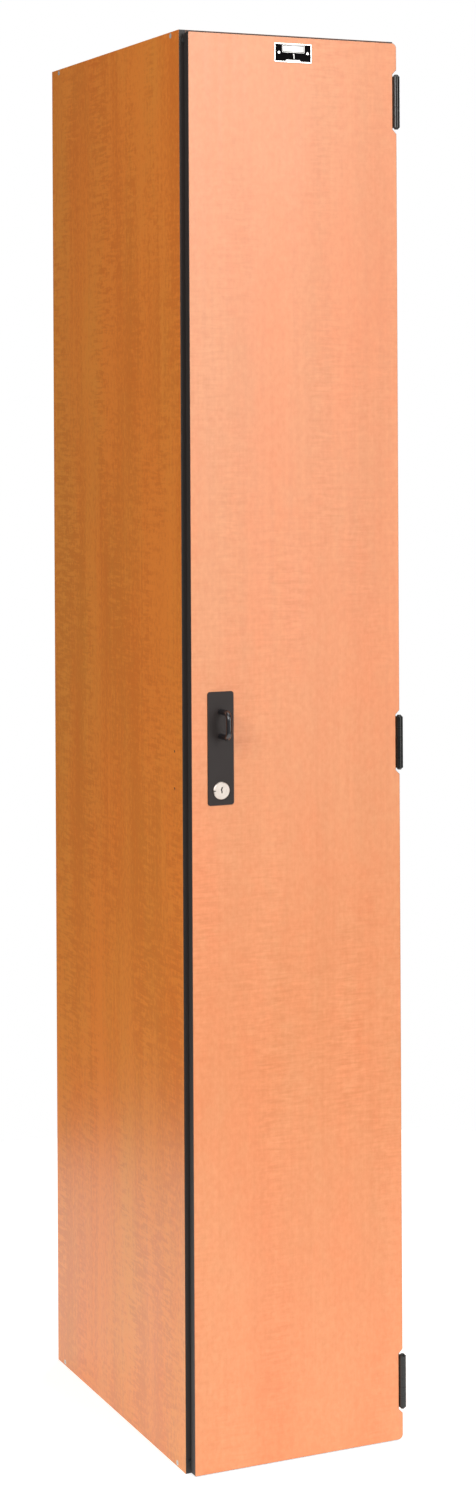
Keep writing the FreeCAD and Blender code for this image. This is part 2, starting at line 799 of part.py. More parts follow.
def number_plate():
    """A thin riveted plate with a raised rim."""
    body = body_of("NumberPlate")
    plate_outline(body, "tag_x", "tag_wide / 2", "tag_z - tag_high / 2", "tag_z + tag_high / 2",
                  "tag_face", "door_face")
    dress(body, "Fillet", "1.2", lambda edge: near(edge.Length, value("tag_thick")))
    field = box(("tag_x - tag_wide / 2 + tag_rim", "tag_face", "tag_z - tag_high / 2 + tag_rim"),
                ("tag_x + tag_wide / 2 - tag_rim", "tag_face + tag_recess",
                 "tag_z + tag_high / 2 - tag_rim"))
    node("number_plate", cut(body, [field] + bores(RIVET_SPOTS, RIVET_LONG, "rivet_r")))


# ---- key cylinder -------------------------------------------------------------------------

def cylinder_shell():
    """The fixed shell: a bright flange outside and a threaded barrel through the door."""
    centre = ("lock_x", "cyl_z")
    body = body_of("Shell")
    disc(body, "Y", "flange_face", "plate_face", centre, "flange_r")
    disc(body, "Y", "plate_face", "front + shell_in", centre, "shell_r")
    rim = value("flange_face")
    dress(body, "Chamfer", "0.8", lambda edge: near(edge.CenterOfMass.y, rim))
    bore = rod(("lock_x", "flange_face", "cyl_z"), "Y", "plug_r + turn_fit",
               "front + shell_in - flange_face")
    mark = box(("lock_x - flange_r", "flange_face", "cyl_z - 0.5"),
               ("lock_x - flange_r + 3.2", "flange_face + 0.9", "cyl_z + 0.5"))
    node("cylinder_shell", cut(body, [bore, mark]))


def cylinder_nut():
    """The hexagon nut that clamps the shell inside the lock case."""
    blank = primitive("Prism", ("lock_x", "case_floor", "cyl_z"), aim("Y"),
                      Circumradius="nut_r", Height="nut_thick")
    hole = rod(("lock_x", "case_floor", "cyl_z"), "Y", "shell_r + fit", "nut_thick")
    node("cylinder_nut", cut(blank, [hole]))


WAFERS = 5
WAFER_PITCH = 3
WAFER_THICK = 1.1


def wafer_start(i):
    """Where a wafer's front lies, behind the plug's face."""
    return f"flange_face + plug_recess + 5 + {i * WAFER_PITCH}"


def key_plug():
    """The turning plug: keyway in front, wafers across it, square tail behind."""
    body = body_of("Plug")
    face = "flange_face + plug_recess"
    disc(body, "Y", face, "front + cam_low - fit", ("lock_x", "cyl_z"), "plug_r")
    plate_outline(body, "lock_x", "tail_half", "cyl_z - tail_half", "cyl_z + tail_half",
                  "front + cam_low - fit", "front + cam_high - fit")
    keyway = body_of("Keyway")
    warded = ((-0.2, 4.8), (-0.4, 3.0), (-1.3, 2.0), (-1.3, 0.2), (-0.5, -0.8), (-0.7, -3.4),
              (0.9, -3.4), (1.1, -0.6), (0.4, 0.4), (0.4, 1.6), (1.2, 2.6), (1.4, 4.8))
    prism(keyway, "Y", face, f"{face} + 21", [(f"lock_x + {a}", f"cyl_z + {b}") for a, b in warded])
    tools = [keyway]
    for i in range(WAFERS):
        start = wafer_start(i)
        tools.append(box(("lock_x - 2.6", start, "cyl_z - plug_r"),
                         ("lock_x + 2.6", f"{start} + {WAFER_THICK}", "cyl_z + plug_r")))
    tools += bores(CAM_SPOT, CAM_LONG, "small_r - 0.3")
    node("key_plug", cut(body, tools))


def wafer_tumblers():
    """Thin brass wafers, each with a window that the key passes through."""
    wafers = []
    for i in range(WAFERS):
        start = f"{wafer_start(i)} + fit"
        end = f"{wafer_start(i)} + {WAFER_THICK} - fit"
        blank = box(("lock_x - 2.5", start, "cyl_z - 5.6"), ("lock_x + 2.5", end, "cyl_z + 5.6"))
        window = box(("lock_x - 1.6", start, "cyl_z - 3.7"), ("lock_x + 1.6", end, "cyl_z + 5"))
        wafers.append(cut(blank, [window]))
    node("wafer_tumblers", group(wafers))


def drive_cam():
    """The cam on the plug's tail, whose pin drives the bolt across."""
    body = body_of("Cam")
    disc(body, "Y", "front + cam_low", "front + cam_high", ("lock_x", "cyl_z"), "cam_r")
    disc(body, "Y", "front + cam_high", "front + crank_pin_end",
         ("lock_x + crank", "cyl_z + crank"), "crank_pin_r")
    square = box(("lock_x - tail_half - fit", "front + cam_low", "cyl_z - tail_half - fit"),
                 ("lock_x + tail_half + fit", "front + cam_high", "cyl_z + tail_half + fit"))
    node("drive_cam", cut(body, [square]))


# ---- lock case and bolt -------------------------------------------------------------------

def lock_case():
    """A pressed case on the door's back, open towards the locker, with a post in each corner."""
    shell = box(("case_left", "door_back", "case_low"), ("case_right", "case_rim", "case_high"))
    hollow = box(("case_inner", "case_floor", "case_base"), ("case_outer", "case_rim", "case_roof"))
    walls = cut(shell, [hollow])
    posts = []
    for left, right in (("case_inner", "case_inner + post"), ("case_outer - post", "case_outer")):
        for low, high in (("case_base", "case_base + post"), ("case_roof - post", "case_roof")):
            posts.append(box((left, "case_floor", low), (right, "case_rim", high)))
    bolt_slot = box(("case_left", "front + bolt_low - 0.3", "cyl_z - nose_half - 0.3"),
                    ("case_inner", "front + bolt_high + 0.3", "cyl_z + nose_half + 0.3"))
    coin_slot = box(("slot_left", "slot_low", "case_roof"), ("slot_right", "slot_high", "case_high"))
    barrel = rod(("lock_x", "door_back", "cyl_z"), "Y", "shell_r + fit", "sheet")
    holes = bores(CASE_SPOTS, CASE_LONG, "small_r") + bores(COVER_SPOTS, COVER_LONG, "small_r")
    node("lock_case", cut(fuse(walls, *posts), [bolt_slot, coin_slot, barrel] + holes))


def lock_cover():
    """The flat cover of the case, with the window that the return cup comes through."""
    plate = box(("case_left", "case_rim", "case_low"),
                ("case_right", "front + case_deep", "case_high"))
    window = box(("chute_left - 0.2", "case_rim", "case_base - 0.2"),
                 ("chute_right + 0.2", "front + case_deep", "cup_rim + 20"))
    node("lock_cover", cut(plate, [window] + bores(COVER_SPOTS, COVER_LONG, "small_r")))


def bolt_guides():
    """Two grooved rails that the bolt's edges run in."""
    rails = []
    for sign in ("+", "-"):
        inside, outside, groove = (f"cyl_z {sign} ({x})" for x in (
            "guide_half", "guide_half + guide_thick", "bolt_half + 0.2"))
        ends = (inside, outside) if sign == "+" else (outside, inside)
        cuts = (inside, groove) if sign == "+" else (groove, inside)
        rail = box(("case_inner", "case_floor", ends[0]), ("guide_end", "case_rim", ends[1]))
        channel = box(("case_inner", "front + bolt_low - 0.3", cuts[0]),
                      ("guide_end", "front + bolt_high + 0.3", cuts[1]))
        rails.append(cut(rail, [channel]))
    node("bolt_guides", group(rails))


def lock_bolt():
    """The sliding bolt: a nose through the case wall and an upright slot for the cam's pin."""
    body = body_of("Bolt")
    prism(body, "Y", "front + bolt_low", "front + bolt_high", [
        ("bolt_tip", "cyl_z - nose_half"), ("bolt_step", "cyl_z - nose_half"),
        ("bolt_step", "cyl_z - bolt_half"), ("bolt_end", "cyl_z - bolt_half"),
        ("bolt_end", "cyl_z + bolt_half"), ("bolt_step", "cyl_z + bolt_half"),
        ("bolt_step", "cyl_z + nose_half"), ("bolt_tip", "cyl_z + nose_half")])
    tip = value("bolt_tip")
    dress(body, "Chamfer", "0.8", lambda edge: near(edge.CenterOfMass.x, tip))
    reach = "crank_pin_r + slot_play"
    slot = box((f"lock_x + crank - ({reach})", "front + bolt_low", f"cyl_z + crank - ({reach})"),
               (f"lock_x + crank + {reach}", "front + bolt_high", f"cyl_z + 1.4142 * crank + {reach}"))
    node("lock_bolt", cut(body, [slot]))


# ---- coin path ----------------------------------------------------------------------------

def coin_chute():
    """A flat tube for the coin, with a side window for the lever's finger."""
    tube = box(("chute_left", "front + chute_low", "chute_foot"),
               ("chute_right", "front + chute_high", "case_roof"))
    bore = box(("slot_left", "slot_low", "chute_foot"), ("slot_right", "slot_high", "case_roof"))
    window = box(("chute_left", "slot_low", "lever_z - 23"), ("slot_left", "slot_high", "lever_z - 2"))
    node("coin_chute", cut(tube, [bore, window]))


def coin_slot_bezel():
    """The raised frame around the coin slot on top of the case."""
    frame = box(("slot_left - 4", "slot_low - 3", "case_high"),
                ("slot_right + 4", "slot_high + 3", "case_high + 1.6"))
    slot = box(("slot_left", "slot_low", "case_high"), ("slot_right", "slot_high", "case_high + 1.6"))
    node("coin_slot_bezel", cut(frame, [slot]))


def coin_return_cup():
    """The open cup that the returned coin drops into."""
    cup = box(("chute_left", "front + cup_low", "case_base"),
              ("chute_right", "front + cup_high", "cup_rim"))
    hollow = box(("slot_left", "front + cup_low + chute_wall", "case_base + chute_wall"),
                 ("slot_right", "front + cup_high - chute_wall", "cup_rim"))
    node("coin_return_cup", cut(cup, [hollow]))


def coin_lever():
    """The lever whose finger holds the coin up in the chute."""
    body = body_of("Lever")
    prism(body, "Y", "front + lever_low", "front + lever_high", [
        ("lever_x - 13", "lever_z - 1.6"), ("lever_x - 2", "lever_z - 2.6"),
        ("lever_x + 12.4", "lever_z - 15.6"), ("lever_x + 15.6", "lever_z - 15.6"),
        ("lever_x + 15.6", "lever_z - 13.4"), ("lever_x + 2.6", "lever_z + 2"),
        ("lever_x - 13", "lever_z + 1.6")])
    disc(body, "Y", "front + lever_low - 1.5", "front + lever_high + 1.5",
         ("lever_x", "lever_z"), "lever_boss")
    bore = rod(("lever_x", "front", "lever_z"), "Y", "lever_pin_r + turn_fit", "10")
    node("coin_lever", cut(body, [bore]))


def lever_parts():
    """The lever's pivot pin and its torsion spring."""
    node("lever_pivot_pin", rod(("lever_x", "case_floor", "lever_z"), "Y", "lever_pin_r",
                                "case_rim - case_floor"))
    start = "front + lever_high + 1.8"
    coil = body_of("Coil")
    wire = sketch(coil, "Z", "0")
    circle(wire, ("coil_r", "wire_r"), "wire_r")
    helix = coil.newObject("PartDesign::AdditiveHelix", "Helix")
    helix.Profile = wire
    helix.ReferenceAxis = (wire, ["V_Axis"])
    helix.setExpression("Pitch", bound("coil_pitch"))
    helix.setExpression("Height", bound("coil_turns * coil_pitch"))
    place(coil, ("lever_x", start, "lever_z"), aim("Z"))
    # The legs are a touch thinner than the coil, so that their ends lie wholly inside its wire.
    legs = [rod(("lever_x + coil_r", f"{start} + {level}", "lever_z"), way, "0.9 * wire_r", "9")
            for level, way in (("wire_r", "-Z"), ("wire_r + coil_turns * coil_pitch", "Z"))]
    node("lever_spring", fuse(coil, *legs))


# ---- the whole locker ---------------------------------------------------------------------

def check():
    """Stop unless every object and every sub-part came out whole."""
    doc.recompute()
    failed = [obj.Name for obj in doc.Objects if {"Invalid", "Error"} & set(obj.State)]
    if failed:
        raise RuntimeError(f"failed objects: {failed}")
    for label, obj in NODES.items():
        if obj.Shape.isNull() or not obj.Shape.isValid() or not obj.Shape.Solids:
            raise RuntimeError(f"{label} has no valid solid")


side_panels()
cross_panels()
shelf_clips()
ceiling_hook()
wall_hooks()
strike()
bumpers()
hinges()
door_panel()
lock_plate()
door_pull()
number_plate()
cylinder_shell()
cylinder_nut()
key_plug()
wafer_tumblers()
drive_cam()
lock_case()
lock_cover()
bolt_guides()
lock_bolt()
coin_chute()
coin_slot_bezel()
coin_return_cup()
coin_lever()
lever_parts()
fasteners()
check()

os.makedirs("parts", exist_ok=True)
for label, obj in NODES.items():
    obj.Shape.exportStep(f"parts/{label}.step")
    print(label, len(obj.Shape.Solids), round(obj.Shape.Volume))
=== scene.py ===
import math

import bmesh
import bpy
from mathutils import Matrix, Vector


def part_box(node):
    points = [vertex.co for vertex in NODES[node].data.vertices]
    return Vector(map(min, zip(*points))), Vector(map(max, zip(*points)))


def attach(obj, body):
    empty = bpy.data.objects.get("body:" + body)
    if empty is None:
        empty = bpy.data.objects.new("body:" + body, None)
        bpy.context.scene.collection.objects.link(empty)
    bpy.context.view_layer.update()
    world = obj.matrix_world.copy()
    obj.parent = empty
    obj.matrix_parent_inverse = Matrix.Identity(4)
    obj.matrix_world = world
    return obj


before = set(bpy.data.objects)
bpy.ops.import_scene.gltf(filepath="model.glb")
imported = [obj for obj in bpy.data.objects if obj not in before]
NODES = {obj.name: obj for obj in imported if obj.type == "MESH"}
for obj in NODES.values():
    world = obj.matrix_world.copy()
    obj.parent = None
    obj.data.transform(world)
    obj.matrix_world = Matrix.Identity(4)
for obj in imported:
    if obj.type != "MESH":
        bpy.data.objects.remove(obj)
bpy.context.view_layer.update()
MM = 0.001


# ---- camera, light and floor --------------------------------------------------------------

CAMERA_PLACE = Vector((-1.4935, -3.3577, 1.3406))
CAMERA_YAW = 0.42626
CAMERA_ROLL = -0.004957
LENS = 64.53
SHIFT_Y = -0.2235

SURROUND_SEEN = 1.0
SURROUND_LIGHT = 0.08
FLOOR_REACH = 1.65
FLOOR_SIDES = 96
FLOOR_CENTRE_Y = -0.3
FLOOR_TONE = 0.72
FLOOR_GLOW = 0.67


def camera():
    """A level camera in front and to the left.

    Its lens is shifted down, which keeps upright edges upright in the picture.
    """
    data = bpy.data.cameras.new("camera")
    data.sensor_width = 36
    data.lens = LENS
    data.shift_y = SHIFT_Y
    data.clip_end = 60
    seen = bpy.data.objects.new("camera", data)
    right = Vector((math.cos(CAMERA_YAW), -math.sin(CAMERA_YAW), 0))
    ahead = Vector((math.sin(CAMERA_YAW), math.cos(CAMERA_YAW), 0))
    up = Vector((0, 0, 1))
    side = math.cos(CAMERA_ROLL) * right + math.sin(CAMERA_ROLL) * up
    top = math.cos(CAMERA_ROLL) * up - math.sin(CAMERA_ROLL) * right
    turned = Matrix((side, top, -ahead)).transposed().to_4x4()
    seen.matrix_world = Matrix.Translation(CAMERA_PLACE) @ turned
    bpy.context.scene.collection.objects.link(seen)
    bpy.context.scene.camera = seen


def softbox(name, place, target, size, power):
    """A white rectangular area light aimed at a point."""
    data = bpy.data.lights.new(name, "AREA")
    data.shape = "RECTANGLE"
    data.size, data.size_y = size
    data.energy = power
    lamp = bpy.data.objects.new(name, data)
    lamp.location = place
    lamp.rotation_euler = (Vector(target) - Vector(place)).to_track_quat("-Z", "Y").to_euler()
    bpy.context.scene.collection.objects.link(lamp)


def surround():
    """A surround that is white where the camera sees it and lights the object only faintly."""
    world = bpy.data.worlds.new("studio")
    world.use_nodes = True
    tree = world.node_tree
    backdrop = tree.nodes["Background"]
    backdrop.inputs["Color"].default_value = (1, 1, 1, 1)
    path = tree.nodes.new("ShaderNodeLightPath")
    level = tree.nodes.new("ShaderNodeMix")
    level.inputs["A"].default_value = SURROUND_LIGHT
    level.inputs["B"].default_value = SURROUND_SEEN
    tree.links.new(path.outputs["Is Camera Ray"], level.inputs["Factor"])
    tree.links.new(level.outputs["Result"], backdrop.inputs["Strength"])
    bpy.context.scene.world = world


def lights():
    """Two softboxes in front, one to the left, one behind and one overhead."""
    centre = (0, 0, 0.9)
    softbox("front_softbox", (1.3, -4.6, 2.84), centre, (2.0, 2.4), 98)
    softbox("front_fill", (1.7, -4.6, 0.78), centre, (2.4, 1.5), 34)
    softbox("left_softbox", (-3.0, -2.4, 2.75), (0, 0, 1.35), (1.6, 2.2), 117)
    softbox("back_softbox", (3.2, 3.0, 2.2), centre, (2.4, 2.4), 70)
    softbox("top_softbox", (0.2, -0.6, 4.2), centre, (2.5, 2.5), 50)


def ground():
    """A plain pale round floor."""
    ring = []
    for i in range(FLOOR_SIDES):
        angle = math.tau * i / FLOOR_SIDES
        ring.append((FLOOR_REACH * math.cos(angle),
                     FLOOR_REACH * math.sin(angle) + FLOOR_CENTRE_Y, 0))
    disc = bpy.data.meshes.new("floor")
    disc.from_pydata(ring, [], [list(range(FLOOR_SIDES))])
    floor = bpy.data.objects.new("floor", disc)
    bpy.context.scene.collection.objects.link(floor)
    pale = bpy.data.materials.new("pale_floor")
    pale.use_nodes = True
    shader = pale.node_tree.nodes["Principled BSDF"]
    shader.inputs["Base Color"].default_value = (FLOOR_TONE, FLOOR_TONE, FLOOR_TONE, 1)
    shader.inputs["Roughness"].default_value = 0.6
    shader.inputs["Emission Color"].default_value = (1, 1, 1, 1)
    shader.inputs["Emission Strength"].default_value = FLOOR_GLOW
    disc.materials.append(pale)


def studio():
    """A white room with a plain pale floor and soft light."""
    bpy.context.scene.view_settings.view_transform = "Standard"
    surround()
    lights()
    ground()


# ---- shader helpers -----------------------------------------------------------------------

class Shader:
    """A material with a Principled BSDF and short ways to add nodes to it."""

    def __init__(self, name, colour, roughness, metallic=0.0, **sockets):
        self.material = bpy.data.materials.new(name)
        self.material.use_nodes = True
        self.tree = self.material.node_tree
        self.bsdf = self.tree.nodes["Principled BSDF"]
        self.set("Base Color", (*colour, 1))
        self.set("Roughness", roughness)
        self.set("Metallic", metallic)
        for key, number in sockets.items():
            self.set(key.replace("_", " "), number)
        self.coords = self.tree.nodes.new("ShaderNodeTexCoord")

    def set(self, socket, given):
        """Put a number, a colour or another node's output on one of the shader's sockets."""
        if isinstance(given, bpy.types.NodeSocket):
            self.tree.links.new(given, self.bsdf.inputs[socket])
        else:
            self.bsdf.inputs[socket].default_value = given

    def add(self, kind, output, inputs, **settings):
        """A node with its inputs filled, and the output asked for."""
        node = self.tree.nodes.new("ShaderNode" + kind)
        for key, number in settings.items():
            setattr(node, key, number)
        for key, given in inputs.items():
            if isinstance(given, bpy.types.NodeSocket):
                self.tree.links.new(given, node.inputs[key])
            elif given is not None:
                node.inputs[key].default_value = given
        return node.outputs[output]

    def place(self, scale, shift=(0, 0, 0)):
        """The object's own coordinates in metres, stretched and then shifted."""
        return self.add("Mapping", "Vector", {"Vector": self.coords.outputs["Object"],
                                              "Scale": scale, "Location": shift})

    def noise(self, vector, detail, rough=0.5, distortion=0.0):
        """Noise from 0 to 1, with one cell to each unit of the vector."""
        return self.add("TexNoise", "Fac", {"Vector": vector, "Scale": 1.0, "Detail": detail,
                                            "Roughness": rough, "Distortion": distortion})

    def maths(self, operation, a, b=None, c=None):
        """One step of arithmetic."""
        return self.add("Math", 0, {0: a, 1: b, 2: c}, operation=operation)

    def span(self, value, low, high, out_low=0.0, out_high=1.0):
        """A value carried from one span to another, and held inside it."""
        return self.add("MapRange", "Result", {"Value": value, "From Min": low, "From Max": high,
                                               "To Min": out_low, "To Max": out_high})

    def mix(self, factor, a, b, blend="MIX"):
        """Two colours mixed."""
        a, b = ((*c, 1) if isinstance(c, tuple) else c for c in (a, b))
        return self.add("Mix", 2, {0: factor, 6: a, 7: b}, data_type="RGBA", blend_type=blend)

    def bump(self, height, strength, distance):
        """Relief on the surface from a height."""
        self.set("Normal", self.add("Bump", "Normal", {"Height": height, "Strength": strength,
                                                       "Distance": distance}))

    def axis(self, vector, index):
        """One part of a vector."""
        return self.add("SeparateXYZ", index, {0: vector})


# ---- materials ----------------------------------------------------------------------------

# Panels: the laminate's colour and how it is toned, how strongly its figure shows, and the core.
FACE = (0.76, 0.228, 0.026)
PLAIN_TONE = (1, 1, 1)
# Painted sheen: the door's paler, bluer tone stands in for white light reflected off the same
# laminate as the sides.
DOOR_PAINTED_SHEEN = (0.95, 1.07, 3.4)
PANEL_FIGURE = 3.0
DOOR_FIGURE = 1.12
CORE = (0.017, 0.0135, 0.012)
LAMINATE_THICK = 0.3 * MM

# The turned rings are noise cells to a metre of radius.
NICKEL_RINGS = 5200
# Painted shade: below this depth the keyway and the index notch are darkened.
NICKEL_SUNK = 0.5 * MM
INDEX_MARK_LONG = 3.6 * MM
INDEX_MARK_HALF = 0.55 * MM
KEYWAY_REACH = 5.5 * MM

PLATE_RECESS = 0.25 * MM


def laminate(name, across, grain, low, high, sheen_tint, strength, seed):
    """Figured maple laminate on a black phenolic core.

    `across` is the axis through the panel, `grain` the axis that the figure runs along, low and
    high are the panel's two faces, `strength` is how strongly the figure shows, and `seed` shifts
    it, so that no two panels are the same.
    """
    # The tint scales the laminate's colour; on the door it paints in a pale sheen of reflected
    # light.
    colour = tuple(c * t for c, t in zip(FACE, sheen_tint))
    made = Shader(name, colour, 0.42, Specular_IOR_Level=0.7)

    def figure(side, along, shift, **settings):
        """Noise with its own scale across and along the grain, from -0.5 to 0.5."""
        scale = tuple(along if i == grain else side for i in range(3))
        vector = made.place(scale, tuple(seed + s for s in shift))
        return made.maths("SUBTRACT", made.noise(vector, **settings), 0.5)

    def total(*shares):
        """Figures added in the shares given, around 0.5."""
        level = 0.5
        for share, part in shares:
            level = made.maths("MULTIPLY_ADD", part, share, level)
        return level

    # Light and dark: bands, streaks and fibres along the grain, broad clouds and a fine mottle.
    bands = figure(22, 0.8, (0, 0, 0), detail=2.0, distortion=0.2)
    streaks = figure(150, 3.0, (4, 4, 4), detail=4.0, rough=0.65)
    fibres = figure(900, 25.0, (1, 1, 1), detail=2.0)
    cloud = figure(6, 1.6, (9, 2, 4), detail=2.0)
    mottle = figure(190, 130.0, (7, 3, 1), detail=3.0, rough=0.6)
    # The curl that runs square to the grain, and the patches that it shows in.
    ripple = figure(36, 235.0, (2, 6, 3), detail=2.0, distortion=0.5)
    patch = made.span(figure(13, 3.0, (3, 5, 7), detail=1.0), -0.12, 0.18)
    # The hue, which drifts between redder and greener.
    drift = figure(12, 3.0, (5, 1, 8), detail=2.0)
    wide = figure(3.2, 0.8, (8, 5, 2), detail=1.0)
    spread = figure(60, 35.0, (6, 8, 2), detail=3.0, rough=0.6)

    light = tuple(c * k for c, k in zip(colour, (1.07, 1.12, 1.20)))
    dark = tuple(c * k for c, k in zip(colour, (0.92, 0.86, 0.76)))
    figured = total((0.7, bands), (0.6, streaks), (0.25, fibres), (0.8, cloud), (1.1, mottle),
                    (1.8, made.maths("MULTIPLY", ripple, patch)))
    figured = made.maths("MULTIPLY_ADD", made.maths("SUBTRACT", figured, 0.5), strength, 0.5)
    wood = made.mix(figured, dark, light)
    hue = total((1.9, drift), (0.9, spread), (0.5, mottle), (0.9 * strength, wide))
    cast = made.mix(hue, (1.03, 0.94, 0.90), (0.97, 1.06, 1.10))
    wood = made.mix(1.0, wood, cast, blend="MULTIPLY")

    # The laminate covers the two faces and shows as a thin line at the edges of the core.
    facing = made.maths("ABSOLUTE", made.axis(made.coords.outputs["Normal"], across))
    depth = made.axis(made.coords.outputs["Object"], across)
    off_middle = made.maths("ABSOLUTE", made.maths("SUBTRACT", depth, (low + high) / 2))
    skin = made.maths("GREATER_THAN", off_middle, (high - low) / 2 - LAMINATE_THICK)
    face = made.maths("MAXIMUM", made.maths("GREATER_THAN", facing, 0.8),
                      made.maths("MULTIPLY", skin, 0.5))
    grit = made.noise(made.place((900, 900, 900)), detail=2.0)
    core = made.mix(grit, tuple(c * 0.8 for c in CORE), tuple(c * 1.5 for c in CORE))
    made.set("Base Color", made.mix(face, core, wood))
    sheen = made.span(made.maths("ADD", streaks, cloud), -0.2, 0.2, 0.30, 0.37)
    dull = made.maths("MULTIPLY", made.maths("SUBTRACT", 1.0, face), 0.25)
    made.set("Roughness", made.maths("ADD", sheen, dull))
    made.bump(made.maths("MULTIPLY_ADD", grit, 0.5, fibres), 0.05, 0.1 * MM)
    return made.material


def coated(name, colour, roughness, grain=700, strength=0.12, **sockets):
    """Powder coat, paint or moulded plastic, with fine relief and a slightly uneven sheen."""
    made = Shader(name, colour, roughness, **sockets)
    peel = made.noise(made.place((grain, grain, grain)), detail=2.0)
    cloud = made.noise(made.place((35, 35, 35)), detail=3.0)
    made.set("Base Color", made.mix(cloud, tuple(c * 0.85 for c in colour),
                                    tuple(c * 1.2 for c in colour)))
    made.set("Roughness", made.span(cloud, 0.3, 0.7, roughness - 0.04, roughness + 0.05))
    made.bump(peel, strength, 0.1 * MM)
    return made.material


def metal(name, colour, roughness, brush=(400, 40, 400), cloud_scale=60, tint=0.12,
          metallic=1.0):
    """Plated or bare metal with faint brushing and a cloudy sheen."""
    made = Shader(name, colour, roughness, metallic=metallic)
    lines = made.noise(made.place(brush), detail=3.0, rough=0.7)
    cloud = made.noise(made.place((cloud_scale,) * 3), detail=3.0)
    made.set("Base Color", made.mix(cloud, tuple(c * (1 - tint) for c in colour),
                                    tuple(min(1, c * (1 + tint)) for c in colour)))
    made.set("Roughness", made.span(lines, 0.25, 0.75, roughness - 0.07, roughness + 0.09))
    made.bump(lines, 0.08, 0.05 * MM)
    return made.material


def turned_nickel(name):
    """Satin nickel with the fine rings that turning leaves, and painted shade in the index mark
    and keyway.

    The mark and the keyway are sunk below the lock's face, and only what lies deeper is darkened,
    as painted shade.
    """
    low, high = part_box("cylinder_shell")
    made = Shader(name, (0.80, 0.77, 0.72), 0.4, metallic=1.0)
    off = made.place((1, 0, 1), (-(low.x + high.x) / 2, 0, -(low.z + high.z) / 2))
    radius = made.add("VectorMath", "Value", {0: off}, operation="LENGTH")
    rings = made.add("TexNoise", "Fac", {"W": made.maths("MULTIPLY", radius, NICKEL_RINGS),
                                         "Scale": 1.0, "Detail": 2.0}, noise_dimensions="1D")
    cloud = made.noise(made.place((130, 130, 130)), detail=3.0)
    sunk_in_shade = made.maths("GREATER_THAN", made.axis(made.coords.outputs["Object"], 1),
                      low.y + NICKEL_SUNK)
    at_mark = made.maths("LESS_THAN", made.axis(off, 0), -(high.x - low.x) / 2 + INDEX_MARK_LONG)
    at_level = made.maths("LESS_THAN", made.maths("ABSOLUTE", made.axis(off, 2)),
                          INDEX_MARK_HALF)
    inside = made.maths("LESS_THAN", radius, KEYWAY_REACH)
    # Painted shade: the keyway's hollow and the sunk index notch get a near-black colour.
    dark = made.maths("MAXIMUM", inside, made.maths("MULTIPLY", at_mark, at_level))
    dark = made.maths("MULTIPLY", dark, sunk_in_shade)
    plated = made.mix(cloud, (0.545, 0.485, 0.425), (0.705, 0.63, 0.57))
    made.set("Base Color", made.mix(dark, plated, (0.015, 0.014, 0.013)))
    made.set("Roughness", made.span(rings, 0.3, 0.7, 0.34, 0.48))
    made.bump(rings, 0.35, 0.04 * MM)
    return made.material


def plate_face():
    """The number plate's bright rim and matt black field, told apart by the field's recess."""
    low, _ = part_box("number_plate")
    made = Shader("plate_enamel", (0.8, 0.8, 0.79), 0.3, Specular_IOR_Level=0.02)
    depth = made.axis(made.coords.outputs["Object"], 1)
    sunk = made.maths("GREATER_THAN", depth, low.y + PLATE_RECESS / 2)
    flat = made.maths("LESS_THAN", made.axis(made.coords.outputs["Normal"], 1), -0.5)
    field = made.maths("MULTIPLY", sunk, flat)
    lines = made.noise(made.place((60, 60, 900)), detail=3.0)
    bright = made.mix(lines, (0.66, 0.65, 0.63), (0.84, 0.83, 0.81))
    made.set("Base Color", made.mix(field, bright, (0.003, 0.0025, 0.003)))
    made.set("Metallic", made.maths("SUBTRACT", 1.0, field))
    made.set("Roughness", made.maths("ADD", made.span(lines, 0.3, 0.7, 0.24, 0.34),
                                     made.maths("MULTIPLY", field, 0.2)))
    made.bump(lines, 0.05, 0.05 * MM)
    return made.material


# ---- pieces -------------------------------------------------------------------------------

MARK_RISE = 0.18 * MM
MARK_EDGE = 0.04 * MM
CORNER_STEPS = 6


def link(name, built, material, body):
    """An object from a bmesh, with its material, body and slot."""
    mesh = bpy.data.meshes.new(name)
    built.to_mesh(mesh)
    built.free()
    mesh.materials.append(material)
    piece = bpy.data.objects.new(name, mesh)
    bpy.context.scene.collection.objects.link(piece)
    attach(piece, body)


def rounded(centre, size, radius):
    """Points of a rounded rectangle, counterclockwise."""
    points = []
    for turn in range(4):
        across = (1, -1, -1, 1)[turn] * (size[0] / 2 - radius)
        along = (1, 1, -1, -1)[turn] * (size[1] / 2 - radius)
        for i in range(CORNER_STEPS + 1):
            angle = (turn + i / CORNER_STEPS) * math.pi / 2
            points.append((centre[0] + across + radius * math.cos(angle),
                           centre[1] + along + radius * math.sin(angle)))
    return points


def slab(built, face, outer, inner=None):
    """A thin raised shape on a plane square to Y: a filled ring, or the band between two rings."""
    brow_y = face - MARK_RISE + MARK_EDGE
    crown_y = face - MARK_RISE

    def level(ring, y, inset=0.0):
        """The ring's vertices at one depth, drawn in towards its middle."""
        cx = sum(p[0] for p in ring) / len(ring)
        cz = sum(p[1] for p in ring) / len(ring)
        made = []
        for px, pz in ring:
            away = Vector((px - cx, 0, pz - cz))
            away = away.normalized() * inset if away.length else away
            made.append(built.verts.new((px - away.x, y, pz - away.z)))
        return made

    def wall(first, second):
        """Faces between two rings of vertices."""
        for i in range(len(first)):
            j = (i + 1) % len(first)
            built.faces.new((first[i], first[j], second[j], second[i]))

    foot = level(outer, face)
    brow = level(outer, brow_y)
    crown = level(outer, crown_y, MARK_EDGE)
    wall(foot, brow)
    wall(brow, crown)
    if inner is None:
        built.faces.new(crown)
        built.faces.new(foot[::-1])
        return
    inner_crown = level(inner, crown_y, -MARK_EDGE)
    inner_brow = level(inner, brow_y)
    inner_foot = level(inner, face)
    wall(crown, inner_crown)
    wall(inner_crown, inner_brow)
    wall(inner_brow, inner_foot)
    wall(inner_foot, foot)


